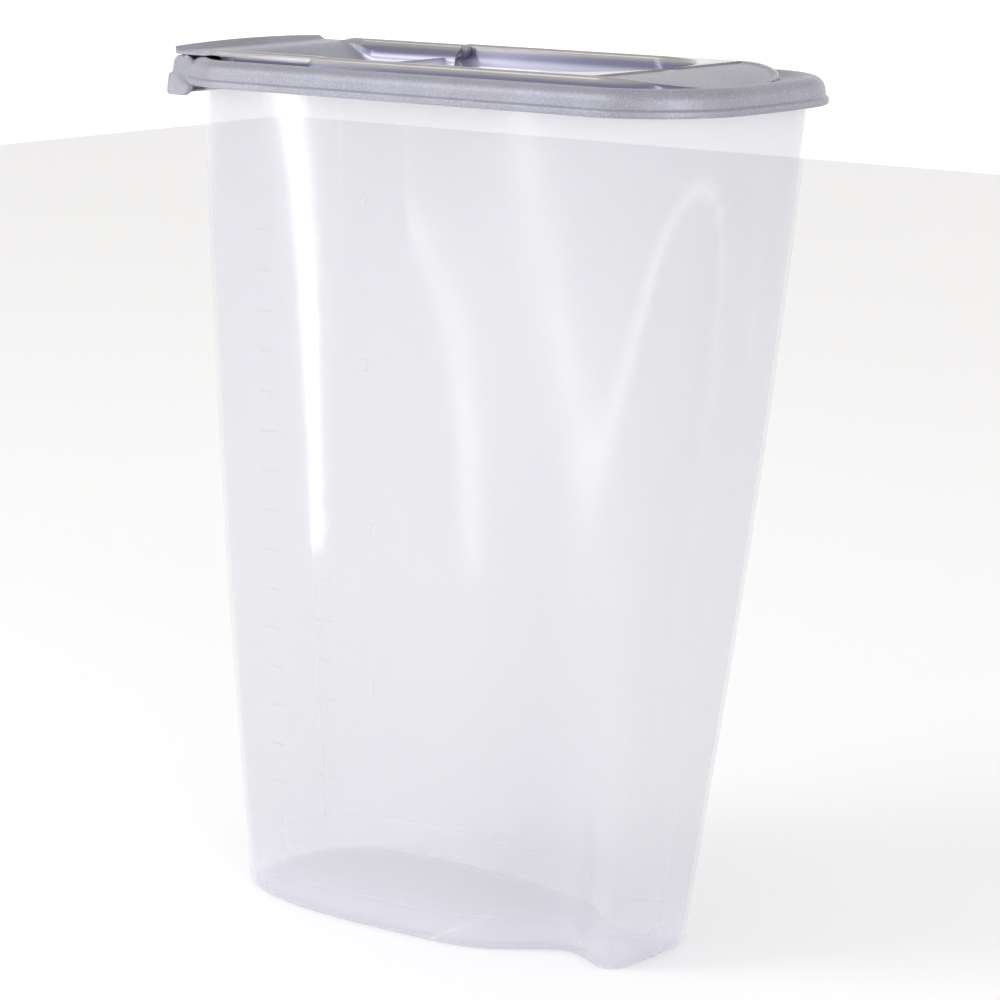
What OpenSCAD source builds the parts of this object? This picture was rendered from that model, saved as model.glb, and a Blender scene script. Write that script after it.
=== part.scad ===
// Cereal container with a flip spout: a translucent tub, a press-on lid and a hinged pour cap.
// X runs along the tub, with the pour end at -X and the hand grip at +X. Z is up, and z = 0 is the table.

/* [Lid size] */
// Length of the lid over its skirt
lid_l = 238.6; // [225:0.1:250]
// Width of the lid over its skirt
lid_w = 107; // [104:0.1:112]
// Radius of the lid's corners in plan
lid_r = 38; // [32:0.5:42]
// Height of the lower edge of the lid's skirt above the table
skirt_z = 295; // [280:0.5:310]
// Height of the lid from the edge of its skirt to the crest of its rolled rim
rim_h = 9; // [8.6:0.1:10]
// Wall of the lid and of the flip cap
lid_t = 1.5; // [1.2:0.1:1.6]
// Depth of the valley inside the rolled rim, below the crest
valley_d = 1.8; // [1.5:0.1:2.2]

/* [Container] */
// Gap in plan from the edge of the skirt to the tub's wall
tub_in = 6.6; // [6.4:0.1:8]
// Wall of the tub
wall = 1.5; // [1.2:0.1:2]
// Thickness of the tub's floor
floor_t = 1.8; // [1.5:0.1:2.5]
// How far the tub's rim flange stands out from its wall
flange_w = 2.6; // [2:0.1:3]
// Height of the tub's rim flange
flange_h = 3.2; // [2.5:0.1:3.5]
// Length of the base
base_l = 178; // [160:1:190]
// Draw-in of the pour end from the rim to the base
end_draft = 6.4; // [3:0.1:12]
// Widest half-width of the base, at its middle
base_w = 39.4; // [36:0.1:44]
// How much narrower the base gets at the grip end than at its middle
tail_draft = 7; // [3:0.1:9]
// Depth of the hand waist in each long side of the base
waist_d = 19; // [8:0.5:22]
// Distance of the hand waist from the middle of the base
waist_x = 63; // [50:1:70]
// Half-length over which the hand waist fades along the base
waist_l = 20.3; // [15:0.1:26]
// Depth of the palm recess in the grip end
palm_d = 2.6; // [0:0.1:4]
// Half-width of the palm recess
palm_w = 27; // [20:1:32]
// Height of the top of the palm recess
palm_z = 275; // [240:1:280]

/* [Lid top] */
// How far the polished rails rise above the crest of the rolled rim
rail_h = 2.8; // [2.4:0.1:3.4]
// Half-width of the recess between the fixed rails
recess_w = 38.7; // [38.7:0.1:40]
// Thickness of the fixed rails, over their crest
rail_t = 3; // [2.8:0.1:4]
// Depth of the recess floor below the crest of the rolled rim
recess_d = 6.4; // [5.8:0.1:7]
// Distance from the lid's centre to the end wall of the recess
recess_x = 74; // [60:1:80]
// Length of the ramp that leads out of the recess to the thumb rest
ramp_out = 26; // [16:1:30]
// Height of the thumb rest's crest above the crest of the rolled rim
rest_h = 1; // [0.6:0.1:1.6]
// Length of the thumb rest beyond the recess
rest_l = 29; // [20:1:31]
// How far the lift tab stands out beyond the skirt
tab_out = 3.8; // [3:0.1:6]
// How far the lift tab hangs below the skirt
tab_drop = 5.2; // [3:0.1:8]
// Half-width of the lift tab
tab_w = 38; // [25:1:42]

/* [Flip cap and hinge] */
// How far the top of the flip cap's lip lies above the crest of the rolled rim
lip_h = 4; // [3.5:0.1:4.4]
// Distance of the hinge axis from the lid's centre, towards the pour end
hinge_x = 47; // [44:0.5:52]
// Height of the hinge axis above the crest of the rolled rim
hinge_z = 0.4; // [0.3:0.1:0.6]
// Radius of the hinge pins
pin_r = 1.2; // [1:0.05:1.3]
// Radial clearance of the pins in their bores
pin_gap = 0.05; // [0.03:0.01:0.1]
// Length of each pin beyond the side of the cap
pin_l = 2.2; // [1.5:0.1:2.6]
// Half-width of the flip cap
cap_w = 38.3; // [36:0.1:38.3]
// Clearance between the flip cap and the lid
cap_gap = 0.4; // [0.3:0.05:0.6]
// How far the flip cap's lip overhangs the end of the skirt
lip_out = 0.2; // [0:0.1:2]
// Half-width of the pour opening
spout_w = 34; // [24:0.5:34]
// Length of the pour opening
spout_l = 46; // [40:1:50]
// Length of the ramp from the lip down to the floor of the cap's trough
ramp_in = 22; // [18:1:26]
// Depth of the shelf between the lip and the trough, below the cap's rails
shelf_d = 1; // [0.6:0.1:1.4]
// Depth of the plug that closes the pour opening
plug_d = 5; // [3:0.5:7]

/* [Hidden] */
$fn = 48;

// Lid in plan
lid_x = tab_out / 2;
crest_z = skirt_z + rim_h;
plate_z = crest_z - valley_d;
rail_z = crest_z + rail_h;
seal_in = tub_in + wall + 0.4;
plate_in = seal_in + 4;

// Tub
stations = 48;
rim_z = crest_z - lid_t - 0.7;
flange_z = rim_z - flange_h;
straight_z = skirt_z - 1;
base_n_pour = 2.6;
base_n_grip = 4.4;
wall_bow = 2.2;
edge_r = 1.8;
end_steps = 2;
skirt_bead = 1;
roll_w = 5.2;
roll_x = skirt_bead + 0.2 + roll_w;
roll_h = rim_h / 2;
snap_in = tub_in - flange_w - 0.4;
lug_step = 1.9;
lug_skin = 0.25;
seal_t = 1.4;

// Lid top and hinge
tray_z = crest_z - recess_d;
axis_x = lid_x - hinge_x;
axis_z = crest_z + hinge_z;
knuckle_r = rail_z - axis_z;
rail_out = recess_w + rail_t;
rail_edge = 0.9;
open_x1 = axis_x - 5;
open_x0 = open_x1 - spout_l;
rest_x0 = lid_x + recess_x;
rest_x1 = rest_x0 + rest_l;
rest_z = crest_z + rest_h;
rest_edge = 0.3;
island_r = 30;
tray_r = recess_w - 2.7;
under_w = 20;
bore_l = pin_l + 0.3;

// Flip cap
cap_in = plate_in + 0.4;
cap_x0 = lid_x - lid_l / 2 + cap_in;
cap_r = 20;
cap_z = plate_z + cap_gap;
lip_z = crest_z + lip_h;
pan_z = plate_z - plug_d;
rail_w = 2.8;
lip_t = 3.4;
shelf_l = 4;

function mix(a, b, t) = a + (b - a) * t;

// Half-width at x of a rectangle of half-length a and half-width b with corners of radius r
function arc_w(x, a, b, r) = let (d = abs(x) - a + r) d <= 0 ? b : b - r + sqrt(max(0, r * r - d * d));

// Outline of the tub at its rim, for s from -1 at the pour end to 1 at the grip end
top_a = lid_l / 2 - tub_in;
top_b = lid_w / 2 - tub_in;
function top_pt(s) = [lid_x + top_a * s, arc_w(top_a * s, top_a, top_b, lid_r - tub_in)];
end_flat = top_b - lid_r + tub_in;

// Outline of the base: a superellipse that narrows to the grip end, drawn in at the hand waist
base_x = lid_x - top_a + end_draft + base_l / 2;
function base_pt(s) =
    let (
        n = s < 0 ? base_n_pour : base_n_grip,
        full = (base_w - tail_draft * s) * pow(max(0, 1 - pow(abs(s), n)), 1 / n),
        dip = waist_d * exp(-pow((s * base_l / 2 - waist_x) / waist_l, 2)) * (1 - pow(abs(s), 6))
    )
    [base_x + base_l / 2 * s, full - dip];

// Loop of 2 * stations points at height z, moved inwards by inset: from the rim down to the base the sides lean
// straight, with a slight bow, and above straight_z they are upright. The flat ends of the rim take end_steps points.
function half_k(k) = k <= stations ? k : 2 * stations - k;
function along(k, skip) = -cos(180 * min(1, max(0, (k - skip) / (stations - 2 * skip))));
function rim_pt(k) =
    let (p = top_pt(along(k, end_steps)), from_end = min(k, stations - k))
    [p[0], from_end < end_steps ? end_flat * from_end / end_steps : p[1]];
function side(k) = k == 0 || k == stations ? 0 : k < stations ? -1 : 1;
function raw_pt(k, z) =
    let (
        t = min(1, z / straight_z),
        s = along(half_k(k), 0),
        p = mix(base_pt(s), rim_pt(half_k(k)), t),
        bow = wall_bow * t * (1 - t)
    )
    [p[0] + 4 * bow * s, side(k) * (p[1] + 2 * bow)];
function palm(p, z) =
    let (
        zc = palm_z - palm_w,
        q = z > zc ? norm([p[1], z - zc]) / palm_w : abs(p[1]) / palm_w,
        edge = min(1, max(0, (1 - q) * 3)),
        low = min(1, max(0, z / zc))
    )
    p[0] > lid_x ? palm_d * edge * edge * (3 - 2 * edge) * low : 0;
function shell_pt(k, z, inset) =
    let (
        n = 2 * stations,
        p = raw_pt(k, z),
        d = raw_pt((k + 1) % n, z) - raw_pt((k + n - 1) % n, z),
        u = d / max(0.001, norm(d))
    )
    [p[0] - u[1] * inset - palm(p, z), p[1] + u[0] * inset, z];

// Heights of the wall's rings, closer together round the palm recess
wall_zs = [for (f = [0.02, 0.08, 0.17, 0.27, 0.38, 0.5, 0.61, 0.7, 0.78, 0.84, 0.88, 0.91, 0.94]) f * flange_z];

module container() {
    rings = concat(
        [[-edge_r, 2 * edge_r], [edge_r * 0.4, edge_r * 0.3]],
        [for (z = wall_zs) [z, 0]],
        [[straight_z, 0]],
        [
            [flange_z, 0], [flange_z, -flange_w], [rim_z - 0.6, -flange_w], [rim_z, 0.6 - flange_w],
            [rim_z, wall - 0.4], [rim_z - 0.4, wall]
        ],
        [[straight_z, wall]],
        [for (i = [len(wall_zs) - 1:-1:1]) [wall_zs[i], wall]],
        [[floor_t + edge_r, wall], [floor_t, wall + edge_r]]
    );
    n = 2 * stations;
    m = len(rings);
    points = [for (r = rings) for (k = [0:n - 1]) shell_pt(k, r[0], r[1])];
    sides = [
        for (i = [0:m - 2]) for (k = [0:n - 1])
            let (a = i * n + k, b = i * n + (k + 1) % n)
            each [[a, a + n, b], [b, a + n, b + n]]
    ];
    // Each flat end is a strip of four-sided cells between the two long sides
    function strip(base, flip) = [
        for (k = [0:stations - 1])
            let (
                a = base + k,
                b = base + k + 1,
                c = base + (n - k - 1) % n,
                d = base + (n - k) % n,
                tris = k == 0 ? [[a, b, c]] : k == stations - 1 ? [[a, b, d]] : [[a, b, c], [a, c, d]]
            )
            each [for (t = tris) flip ? [t[2], t[1], t[0]] : t]
    ];
    color([0.93, 0.93, 0.97, 0.5]) difference() {
        polyhedron(points, concat(sides, strip(0, false), strip((m - 1) * n, true)), convexity = 6);
        // The rounded bottom edge ends on one flat face at the table
        translate([-lid_l, -lid_w, -2 * edge_r]) cube([2 * lid_l, 2 * lid_w, 2 * edge_r]);
    }
}

// A profile drawn with its outer edge on x = 0 is carried round the lid's outline, corner by corner and side by side
module round_lid() {
    xk = lid_l / 2 - lid_r;
    yk = lid_w / 2 - lid_r;
    translate([lid_x, 0, 0])
        for (i = [0:3]) rotate([0, 0, 90 * i]) {
            u = i % 2 == 0 ? xk : yk;
            v = i % 2 == 0 ? yk : xk;
            translate([u, v, 0]) rotate_extrude(angle = 90) translate([lid_r, 0]) children();
            translate([-u, v + lid_r, 0]) rotate([90, 0, 90]) linear_extrude(2 * u) children();
        }
}

// Rounded rectangle from x0 to x1, with its corners of radius r0 at x0 and r1 at x1
module tray(x0, x1, w, r0, r1) {
    translate([x0 + r0, -w]) square([x1 - x0 - r0 - r1, 2 * w]);
    translate([x0, r0 - w]) square([r0 + 1, 2 * (w - r0)]);
    translate([x1 - r1 - 1, r1 - w]) square([r1 + 1, 2 * (w - r1)]);
    for (s = [-1, 1]) {
        translate([x0 + r0, s * (w - r0)]) circle(r0);
        translate([x1 - r1, s * (w - r1)]) circle(r1);
    }
}

// Section of the lid's rim: skirt with a bead and a snap ridge, rolled crest, valley, and the wall that seals the tub
function valley(u) = plate_z + valley_d * (1 + cos(180 * u)) / 2;
module rim_section() {
    roll_z = crest_z - roll_h;
    skirt_x = skirt_bead + 0.2 + lid_t;
    u_seal = (seal_in - roll_x) / roll_w;
    polygon(concat(
        [[0, skirt_z], [0, skirt_z + 2.2], [-skirt_bead, skirt_z + 3]],
        [for (a = [0:15:90]) [roll_w * cos(a) - roll_x, roll_z + roll_h * sin(a)]],
        [for (u = [0.2:0.2:1]) [-roll_x - roll_w * u, valley(u)]],
        [
            [-plate_in, plate_z], [-plate_in, plate_z - lid_t],
            [-seal_in - seal_t, plate_z - lid_t], [-seal_in - seal_t, skirt_z + 1],
            [-seal_in, skirt_z + 1], [-seal_in, valley(u_seal) - lid_t],
            [-roll_x - roll_w * 0.2, valley(0.2) - lid_t]
        ],
        [for (a = [90:-15:0]) [(roll_w - lid_t) * cos(a) - roll_x, roll_z + (roll_h - lid_t) * sin(a)]],
        [
            [-skirt_x, skirt_z + 2.6], [-snap_in, skirt_z + 1.8],
            [-snap_in, skirt_z + 0.6], [-skirt_x, skirt_z]
        ]
    ));
}

// Square lug at the pour end, to lift the lid by: rolled over at the top like the rim, and flared at the bottom
module lug_block(t, w) {
    x0 = lid_x - lid_l / 2 + t;
    z0 = skirt_z - t;
    roll_z = crest_z - roll_h - t;
    translate([0, w, 0]) rotate([90, 0, 0]) linear_extrude(2 * w)
        polygon(concat(
            [
                [x0 + roll_x + roll_w, z0 - tab_drop], [x0 - tab_out + 1.4, z0 - tab_drop],
                [x0 - tab_out, z0 - tab_drop + 1.6], [x0 - lug_step, z0 + 2], [x0 - lug_skin, z0 + 2.6]
            ],
            [for (a = [0:15:90]) [x0 + roll_x - (roll_x + lug_skin) * cos(a), roll_z + (roll_h - lug_skin) * sin(a)]],
            [[x0 + roll_x + roll_w - 0.6, roll_z + roll_h - valley_d]]
        ));
}
module lift_tab() {
    difference() {
        lug_block(0, tab_w);
        lug_block(lid_t, tab_w - lid_t);
        // Room for the tub's flange, under the roll
        translate([0, 0, skirt_z - 2 * tab_drop]) linear_extrude(crest_z - lid_t - skirt_z + 2 * tab_drop)
            tray(lid_x - lid_l / 2 + snap_in, lid_x, lid_w / 2 - snap_in, lid_r - snap_in, 2);
    }
}

// Rails on both sides of the recess and the thumb rest at its end
module island(w, x0, x1) {
    translate([0, 0, plate_z - 0.5]) linear_extrude(rail_z - rail_edge - plate_z + 0.5) tray(x0, x1, w, 1, island_r);
    translate([0, 0, plate_z]) linear_extrude(rail_z - plate_z)
        tray(x0, x1 - rail_edge, w - rail_edge, 1, island_r - rail_edge);
}
// Long cylinder that falls from z0 at the end of the recess to the plate at the end of the thumb rest
module thumb_crown(z0) {
    crown_r = pow(rest_l, 2) / (2 * (z0 - plate_z - rest_edge));
    translate([rest_x0, 0, z0 - crown_r]) rotate([90, 0, 0])
        cylinder(r = crown_r, h = 2 * lid_w, center = true, $fn = 96);
}
// Prism across the lid whose top leads up from (x0, z0) to (x1, z1)
module ramp(x0, z0, x1, z1, w, low) {
    translate([0, w, 0]) rotate([90, 0, 0]) linear_extrude(2 * w)
        polygon([[x0, low], [x0, z0], [x1, z1], [x1, low]]);
}

module lid() {
    color([0.62, 0.62, 0.66]) difference() {
        union() {
            round_lid() rim_section();
            lift_tab();
            // Plate inside the valley
            translate([0, 0, plate_z - lid_t]) linear_extrude(lid_t)
                tray(lid_x - lid_l / 2 + seal_in + 1, lid_x + lid_l / 2 - seal_in - 1, lid_w / 2 - seal_in - 1,
                    lid_r - seal_in - 1, lid_r - seal_in - 1);
            // Rails, which fall to the plate beyond the recess
            difference() {
                island(rail_out, axis_x, rest_x1);
                difference() {
                    translate([rest_x0, -lid_w, plate_z]) cube([lid_l, 2 * lid_w, lid_w]);
                    thumb_crown(rail_z);
                }
            }
            for (s = [-1, 1]) hinge_barrel(s, recess_w, rail_out, knuckle_r);
            // Walls and floor of the recess
            translate([0, 0, tray_z - lid_t]) linear_extrude(plate_z - tray_z + lid_t)
                tray(open_x1 - lid_t, rest_x0 + lid_t, recess_w + lid_t, 2, tray_r + lid_t);
        }
        // Recess, with the ramp at its end
        difference() {
            translate([0, 0, tray_z]) linear_extrude(lid_w) tray(open_x1, rest_x0, recess_w, 0.5, tray_r);
            ramp(rest_x0 - ramp_out, tray_z, rest_x0 + 1, rest_z, lid_w, tray_z - 1);
        }
        // Thumb rest between the rails
        difference() {
            translate([0, 0, plate_z]) linear_extrude(lid_w)
                tray(rest_x0, rest_x1 - rail_t, recess_w, 0.5, island_r - rail_t);
            thumb_crown(rest_z);
        }
        // Pour opening
        translate([0, 0, tray_z - lid_w]) linear_extrude(2 * lid_w)
            tray(open_x0, open_x1 + 0.01, spout_w, 8, 0.5);
        // Space under the ramp
        ramp(rest_x0 - ramp_out + lid_t, tray_z - 2 * lid_t, rest_x0 - lid_t, rest_z - 2 * lid_t, under_w,
            tray_z - 3 * lid_t);
        for (s = [-1, 1]) hinge_barrel(s, recess_w - 1, recess_w + bore_l, pin_r + pin_gap);
    }
}

// Cylinder on the hinge axis between two distances from the middle, on side s
module hinge_barrel(s, y0, y1, r) {
    translate([axis_x, s * (y0 + y1) / 2, axis_z]) rotate([90, 0, 0]) cylinder(r = r, h = y1 - y0, center = true);
}

// Section of the lip that reaches over the rolled rim at the pour end
module lip_section() {
    x0 = lid_x - lid_l / 2 - lip_out;
    under_z = crest_z + cap_gap;
    polygon([
        [x0, under_z], [x0, lip_z - 0.6], [x0 + 0.6, lip_z], [x0 + 1.6, lip_z], [x0 + lip_t, rail_z - rail_edge],
        [cap_x0 + cap_r, rail_z - rail_edge], [cap_x0 + cap_r, under_z]
    ]);
}

module flip_cap() {
    shelf_z = rail_z - shelf_d;
    trough_w = cap_w - rail_w;
    color([0.58, 0.58, 0.63]) difference() {
        union() {
            // Rim of the cap, with its two rails
            translate([0, 0, cap_z]) linear_extrude(rail_z - rail_edge - cap_z)
                tray(cap_x0, axis_x, cap_w, cap_r, 0.5);
            translate([0, 0, cap_z]) linear_extrude(rail_z - cap_z)
                tray(cap_x0 + rail_edge, axis_x, cap_w - rail_edge, cap_r, 0.5);
            for (s = [-1, 1]) hinge_barrel(s, trough_w, cap_w, knuckle_r);
            // Plug in the pour opening
            translate([0, 0, pan_z]) linear_extrude(cap_z - pan_z)
                tray(open_x0 + cap_gap, open_x1 - cap_gap, spout_w - cap_gap, 8 - cap_gap, 1);
            // Lip over the pour end
            translate([0, cap_w, 0]) rotate([90, 0, 0]) linear_extrude(2 * cap_w) lip_section();
        }
        // Trough between the rails, with a shelf behind the lip and a ramp down from the shelf
        difference() {
            union() {
                translate([0, 0, cap_z + lid_t]) linear_extrude(lid_w)
                    tray(lid_x - lid_l / 2 - lip_out + lip_t, axis_x + lid_w, trough_w, 0.5, 0.5);
                translate([0, 0, pan_z + lid_t]) linear_extrude(lid_w)
                    tray(open_x0 + cap_gap + lid_t, open_x1 - cap_gap - lid_t, spout_w - cap_gap - lid_t, 6, 1);
            }
            translate([0, cap_w, 0]) rotate([90, 0, 0]) linear_extrude(2 * cap_w) polygon([
                [cap_x0 - lid_l, pan_z], [cap_x0 - lid_l, shelf_z], [cap_x0 + shelf_l, shelf_z],
                [cap_x0 + ramp_in, pan_z + lid_t], [cap_x0 + ramp_in, pan_z]
            ]);
        }
    }
    color([0.58, 0.58, 0.63])
        for (s = [-1, 1]) hinge_barrel(s, cap_w - 1, cap_w + pin_l, pin_r);
}

container();
lid();
flip_cap();
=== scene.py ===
import math
import bmesh
import bpy
import numpy as np
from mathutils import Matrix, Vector


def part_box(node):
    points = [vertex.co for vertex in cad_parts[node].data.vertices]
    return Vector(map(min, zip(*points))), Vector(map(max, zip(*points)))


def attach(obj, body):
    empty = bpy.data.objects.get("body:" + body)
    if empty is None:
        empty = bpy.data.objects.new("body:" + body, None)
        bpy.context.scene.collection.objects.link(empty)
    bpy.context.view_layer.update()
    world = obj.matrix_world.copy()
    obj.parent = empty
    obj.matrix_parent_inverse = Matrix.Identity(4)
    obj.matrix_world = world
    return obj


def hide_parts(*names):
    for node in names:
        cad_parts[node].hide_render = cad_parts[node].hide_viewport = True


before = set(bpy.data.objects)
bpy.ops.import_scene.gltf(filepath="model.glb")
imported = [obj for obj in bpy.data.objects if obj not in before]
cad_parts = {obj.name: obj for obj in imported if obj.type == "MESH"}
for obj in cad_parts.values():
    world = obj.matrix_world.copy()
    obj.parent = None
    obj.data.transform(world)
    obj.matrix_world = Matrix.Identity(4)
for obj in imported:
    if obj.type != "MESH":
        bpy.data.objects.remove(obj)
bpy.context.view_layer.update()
print("frame loaded:", sorted(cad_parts))

# Sizes are in millimetres, in the frame's own axes: pour end at -X, hand grip at +X, table at z = 0
lidLow, lidHigh = [np.array(corner) * 1000 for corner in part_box("lid")]
capLow, capHigh = [np.array(corner) * 1000 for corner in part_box("flip_cap")]
lid = {
    "length": 238.6,        # over the skirt
    "skirtZ": 295.0,        # lower edge of the skirt
    "rimHigh": 9.0,         # skirt edge to the crest of the rolled rim
    "cornerRadius": 34.0,   # in plan
    "endBow": 260.0,        # radius of the slight bow of each end
    "bowReach": 55.0,       # length over which the bow comes in
    "wall": 1.5,
    "valley": 1.8,          # valley inside the roll, below the crest
    "valleyInset": 13.4,    # inner edge of the valley
    "rollInset": 1.2,
    "rollWide": 5.2,        # half-width of the roll
    "rollHigh": 4.5,
    # flared bead of the skirt and the groove over it, as (inset, height above the skirt's edge)
    "bead": [(1.6, 0.0), (0.5, 0.0), (0.12, 0.15), (0.0, 0.5),
             (0.0, 1.7), (0.15, 2.1), (0.6, 2.4), (1.0, 2.75)],
    "beadInside": (2.6, 2.6),
}
lid["width"] = lidHigh[1] - lidLow[1]
lid["midX"] = lidHigh[0] - lid["length"] / 2
lid["crestZ"] = lid["skirtZ"] + lid["rimHigh"]
lid["plateZ"] = lid["crestZ"] - lid["valley"]
lid["railZ"] = lidHigh[2]
lid["frontX"] = lid["midX"] - lid["length"] / 2
hinge = {"x": lid["midX"] - 47.0, "z": lid["crestZ"] + 0.4, "pin": 1.2}
hinge["knuckle"] = lid["railZ"] - hinge["z"]


def smooth(t):
    # smooth step: 3t^2 - 2t^3 on t held between 0 and 1
    t = np.clip(t, 0.0, 1.0)
    return t * t * (3 - 2 * t)


def mix(a, b, t):
    return a + (b - a) * t


def arc(cx, cz, rx, rz, start, end, steps):
    # points of an ellipse about (cx, cz) from start to end, in degrees
    a = np.radians(np.linspace(start, end, steps))
    return np.stack([cx + rx * np.cos(a), cz + rz * np.sin(a)], axis=1)


def joinPoints(*parts):
    return np.concatenate([np.atleast_2d(np.array(p, float)) for p in parts])


def wayAlong(x, y):
    # distance along a row of points from its first point
    return np.concatenate([[0], np.cumsum(np.hypot(np.diff(x), np.diff(y)))])


def cornerWidth(x, a, b, r):
    # half-width at x of a rectangle of half-length a and half-width b with corners of radius r
    d = np.abs(x) - a + r
    return np.where(d <= 0, b, b - r + np.sqrt(np.maximum(0, r * r - d * d)))


def endWidth(x, end, half, r):
    # half-width at x of a long strip that ends at the given x with corners of radius r
    far = 200.0
    return cornerWidth(x - end + far, far, half, r)


def startWidth(x, start, half, r):
    # the same strip the other way round, beginning at the given x
    far = 200.0
    return cornerWidth(x - start - far, far, half, r)


def meshFromGrid(name, grid, closeU=False, closeV=False, materials=(), slots=None, sharp=35.0, keep=None):
    # grid is (rows, columns, 3) in mm: each cell of neighbouring rows and columns is one four-sided face
    rows, columns = grid.shape[:2]
    u = np.arange(rows if closeU else rows - 1)
    v = np.arange(columns if closeV else columns - 1)
    uu, vv = np.meshgrid(u, v, indexing="ij")
    un, vn = (uu + 1) % rows, (vv + 1) % columns
    corners = [uu * columns + vv, uu * columns + vn, un * columns + vn, un * columns + vv]
    faces = np.stack(corners, axis=-1).reshape(-1, 4)
    index = np.zeros(len(faces), int) if slots is None else slots[:len(u), :len(v)].reshape(-1)
    if keep is not None:
        kept = keep[:len(u), :len(v)].reshape(-1)
        faces, index = faces[kept], index[kept]
    mesh = bpy.data.meshes.new(name)
    mesh.vertices.add(rows * columns)
    mesh.vertices.foreach_set("co", (grid.reshape(-1, 3) * 0.001).astype(np.float32).ravel())
    mesh.loops.add(faces.size)
    mesh.loops.foreach_set("vertex_index", faces.astype(np.int32).ravel())
    mesh.polygons.add(len(faces))
    mesh.polygons.foreach_set("loop_start", np.arange(0, faces.size, 4, dtype=np.int32))
    for material in materials:
        mesh.materials.append(material)
    mesh.update(calc_edges=True)
    mesh.polygons.foreach_set("material_index", index.astype(np.int32))
    mesh.validate()
    piece = bpy.data.objects.new(name, mesh)
    bpy.context.scene.collection.objects.link(piece)
    cleanMesh(piece, sharp)
    return piece


def cleanMesh(piece, sharp=35.0, merge=2e-6):
    # joins doubled points, drops empty faces and loose points, and marks edges over the sharp angle
    bm = bmesh.new()
    bm.from_mesh(piece.data)
    bmesh.ops.remove_doubles(bm, verts=bm.verts, dist=merge)
    bmesh.ops.dissolve_degenerate(bm, edges=bm.edges, dist=1e-7)
    loose = [v for v in bm.verts if not v.link_faces]
    bmesh.ops.delete(bm, geom=loose, context="VERTS")
    bmesh.ops.recalc_face_normals(bm, faces=bm.faces)
    bm.to_mesh(piece.data)
    bm.free()
    piece.data.polygons.foreach_set("use_smooth", np.ones(len(piece.data.polygons), bool))
    piece.data.set_sharp_from_angle(angle=math.radians(sharp))


def faceAway(piece, centre):
    # turns an open sheet's faces so that they look away from a point, given in mm
    mesh = piece.data
    count = len(mesh.polygons)
    centres, normals, areas = np.empty(count * 3), np.empty(count * 3), np.empty(count)
    mesh.polygons.foreach_get("center", centres)
    mesh.polygons.foreach_get("normal", normals)
    mesh.polygons.foreach_get("area", areas)
    way = centres.reshape(-1, 3) - np.array(centre) * 0.001
    if (areas * (way * normals.reshape(-1, 3)).sum(axis=1)).sum() < 0:
        mesh.flip_normals()


def thicken(piece, thickness):
    solid = piece.modifiers.new("wall", "SOLIDIFY")
    solid.thickness = thickness * 0.001
    solid.offset = -1


class Socket:
    # wraps one output socket, so that arithmetic on it adds Math nodes
    def __init__(self, tree, out):
        self.tree, self.out = tree, out

    def maths(self, kind, first, second):
        node = self.tree.nodes.new("ShaderNodeMath")
        node.operation = kind
        for place, term in zip(node.inputs, (first, second)):
            if isinstance(term, Socket):
                self.tree.links.new(term.out, place)
            else:
                place.default_value = term
        return Socket(self.tree, node.outputs[0])

    def __add__(self, other):
        return self.maths("ADD", self, other)

    def __sub__(self, other):
        return self.maths("SUBTRACT", self, other)

    def __rsub__(self, other):
        return self.maths("SUBTRACT", other, self)

    def __mul__(self, other):
        return self.maths("MULTIPLY", self, other)

    def __pow__(self, other):
        return self.maths("POWER", self, other)

    __radd__ = __add__
    __rmul__ = __mul__


class Shader:
    # one material: its tree, and one method that adds any node
    def __init__(self, name):
        self.material = bpy.data.materials.new(name)
        self.material.use_nodes = True
        self.tree = self.material.node_tree
        self.tree.nodes.clear()

    def add(self, kind, settings=None, out=0, numbered=None, **named):
        # settings are set first, then the value or link of each socket, by its number or its name
        node = self.tree.nodes.new(kind)
        for key, value in (settings or {}).items():
            setattr(node, key, value)
        sockets = dict(numbered or {})
        sockets.update({key.replace("_", " "): value for key, value in named.items()})
        for key, value in sockets.items():
            if isinstance(value, Socket):
                self.tree.links.new(value.out, node.inputs[key])
            else:
                node.inputs[key].default_value = value
        return Socket(self.tree, node.outputs[out])

    def place(self):
        return self.add("ShaderNodeTexCoord", out="Object")

    def axis(self, vector, letter):
        return self.add("ShaderNodeSeparateXYZ", Vector=vector, out=letter)

    def fade(self, value, start, end):
        # 0 at start and 1 at end, with a smooth step between
        return self.add("ShaderNodeMapRange", {"interpolation_type": "SMOOTHSTEP"}, Value=value,
                        From_Min=start, From_Max=end, To_Min=0.0, To_Max=1.0)

    def mixColour(self, mask, a, b):
        return self.add("ShaderNodeMix", {"data_type": "RGBA"}, out=2, numbered={0: mask, 6: a, 7: b})

    def finish(self, surface):
        out = self.tree.nodes.new("ShaderNodeOutputMaterial")
        self.tree.links.new(surface.out, out.inputs["Surface"])
        return self.material


def silverTexture(name, finish):
    # spark-eroded silver plastic: mica flakes in a grey body, with a fine pebbled surface
    s = Shader(name)
    place = s.place()
    grain = s.add("ShaderNodeTexNoise", Vector=place, Scale=finish["grain"], Detail=3.0, Roughness=0.6)
    flakes = s.add("ShaderNodeTexVoronoi", out="Color", Vector=place, Scale=finish["flakes"])
    bright = s.axis(flakes, "X") ** 6.0
    cloud = s.add("ShaderNodeTexNoise", Vector=place, Scale=60.0, Detail=2.0)
    base = s.mixColour(cloud, finish["dark"], finish["mid"])
    colour = s.mixColour(bright * finish["sparkle"], base, finish["flake"])
    height = s.add("ShaderNodeBump", Strength=finish["bump"], Distance=0.0003, Height=grain)
    surface = s.add("ShaderNodeBsdfPrincipled", Base_Color=colour, Metallic=finish["metal"],
                    Roughness=finish["rough"] - bright * 0.12, Normal=height)
    return s.finish(surface)


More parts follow.
